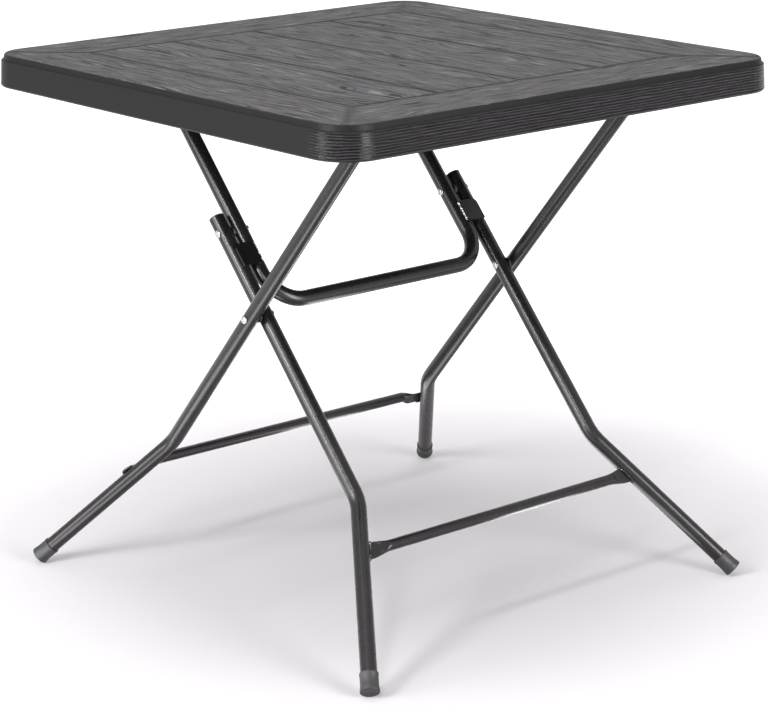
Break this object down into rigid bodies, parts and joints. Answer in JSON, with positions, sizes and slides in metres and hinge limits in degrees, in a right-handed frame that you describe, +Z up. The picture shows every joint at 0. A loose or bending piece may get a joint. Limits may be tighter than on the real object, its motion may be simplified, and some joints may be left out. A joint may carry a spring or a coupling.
{
  "type": "folding card table",
  "caption": "Square folding card table: a moulded plastic top with a plank pattern on crossing bent tube legs, held open by a U-shaped tube prop, folding flat under the top.",
  "frame": {"origin": "centre of the square top projected on the floor the feet stand on, table open", "axes": "+Z up, +X along the hinge tubes, +Y from the outer frame's hinge towards the prop's hinge"},
  "size_m": [0.78, 0.78, 0.744],
  "materials": {
    "moulded_top": "blow-moulded charcoal plastic with embossed wood grain",
    "frame_coat": "charcoal powder coat, satin",
    "stop_plates": "black powder coat, satin",
    "rubber_feet": "black moulded rubber, matt",
    "zinc_rivets": "bright zinc-plated steel",
    "zinc_straps": "zinc-plated sheet steel",
    "plastic_plugs": "black moulded plastic",
    "nylon_washers": "black nylon"
  },
  "bodies": {
    "tabletop": {"tabletop_panel": "moulded_top", "outer_hinge_strap_left": "zinc_straps", "outer_hinge_strap_right": "zinc_straps", "prop_hinge_strap_left": "zinc_straps", "prop_hinge_strap_right": "zinc_straps", "hinge_strap_screws": "zinc_straps"},
    "outer_frame": {"outer_leg_left": "frame_coat", "outer_leg_right": "frame_coat", "outer_hinge_tube": "frame_coat", "outer_hinge_tube_plugs": "plastic_plugs", "outer_crossbar": "frame_coat", "outer_foot_cap_left": "rubber_feet", "outer_foot_cap_right": "rubber_feet", "cross_pivot_rivet_left": "zinc_rivets", "cross_pivot_rivet_right": "zinc_rivets", "cross_pivot_washers": "nylon_washers"},
    "inner_frame": {"inner_leg_left": "frame_coat", "inner_leg_right": "frame_coat", "inner_crossbar": "frame_coat", "inner_foot_cap_left": "rubber_feet", "inner_foot_cap_right": "rubber_feet", "inner_leg_end_plugs": "plastic_plugs", "prop_pivot_rivet_left": "zinc_rivets", "prop_pivot_rivet_right": "zinc_rivets", "prop_pivot_spacers": "nylon_washers"},
    "prop_frame": {"prop_tube": "frame_coat", "prop_hinge_tube": "frame_coat", "prop_hinge_tube_plugs": "plastic_plugs", "stop_plate_left": "stop_plates", "stop_plate_right": "stop_plates", "prop_pivot_rivet_heads": "zinc_rivets"}
  },
  "joints": [
    {"name": "outer_frame_fold", "type": "hinge", "parent": "tabletop", "child": "outer_frame", "pos_m": [0, -0.2665, 0.706], "axis": [1, 0, 0], "range_deg": [0, 47.6]},
    {"name": "leg_cross_fold", "type": "hinge", "parent": "outer_frame", "child": "inner_frame", "pos_m": [0, -0.0145, 0.413], "axis": [1, 0, 0], "range_deg": [0, 81.95]},
    {"name": "prop_fold", "type": "hinge", "parent": "tabletop", "child": "prop_frame", "pos_m": [0, 0.247, 0.706], "axis": [-1, 0, 0], "range_deg": [0, 46.85]}
  ],
  "couplings": [
    {"joint": "leg_cross_fold", "follows": "outer_frame_fold", "ratio": 1.7215},
    {"joint": "prop_fold", "follows": "outer_frame_fold", "ratio": 0.98415}
  ]
}
